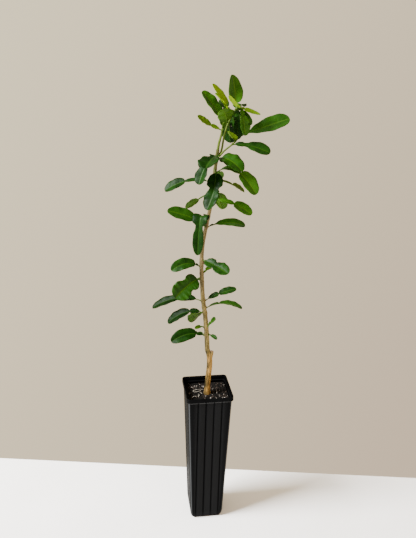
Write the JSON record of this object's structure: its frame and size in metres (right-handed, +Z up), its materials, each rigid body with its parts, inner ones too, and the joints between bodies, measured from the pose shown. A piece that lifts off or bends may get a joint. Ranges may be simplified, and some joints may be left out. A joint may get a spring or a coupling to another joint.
{
  "type": "potted kaffir lime tree",
  "caption": "Young grafted kaffir lime tree with double leaves on a slim trunk, in a tall square nursery pot",
  "frame": {"origin": "centre of the pot's flat underside", "axes": "+Z up the trunk; X and Y square to the pot's sides, with the side that the picture looks at facing -Y, about 9 degrees off the line of sight"},
  "size_m": [0.2903, 0.1251, 1.0783],
  "materials": {
    "pot": "matt black, faintly scuffed",
    "potting_mix": "loose, dark brown with pale bits",
    "bark": "tan bark, matt",
    "green_bark": "smooth green bark",
    "foliage": "glossy dark green leaves"
  },
  "bodies": {
    "root": {"pot": "pot", "soil": "potting_mix", "trunk": "bark", "shoot_left": "green_bark", "shoot_leader": "green_bark", "shoot_right": "green_bark", "crown_left": "foliage", "crown_leader": "foliage", "crown_right": "foliage", "leaf_01": "foliage", "leaf_02": "foliage", "leaf_03": "foliage", "leaf_04": "foliage", "leaf_05": "foliage", "leaf_06": "foliage", "leaf_07": "foliage", "leaf_08": "foliage", "leaf_09": "foliage", "leaf_10": "foliage", "leaf_11": "foliage", "leaf_12": "foliage", "leaf_13": "foliage", "leaf_14": "foliage", "leaf_15": "foliage", "leaf_16": "foliage", "leaf_17": "foliage", "leaf_18": "foliage", "leaf_19": "foliage", "leaf_20": "foliage", "leaf_21": "foliage", "leaf_22": "foliage", "leaf_23": "foliage", "leaf_24": "foliage", "leaf_25": "foliage", "leaf_26": "foliage", "leaf_27": "foliage", "leaf_28": "foliage", "leaf_29": "foliage", "leaf_30": "foliage", "leaf_31": "foliage", "leaf_32": "foliage"}
  },
  "joints": []
}
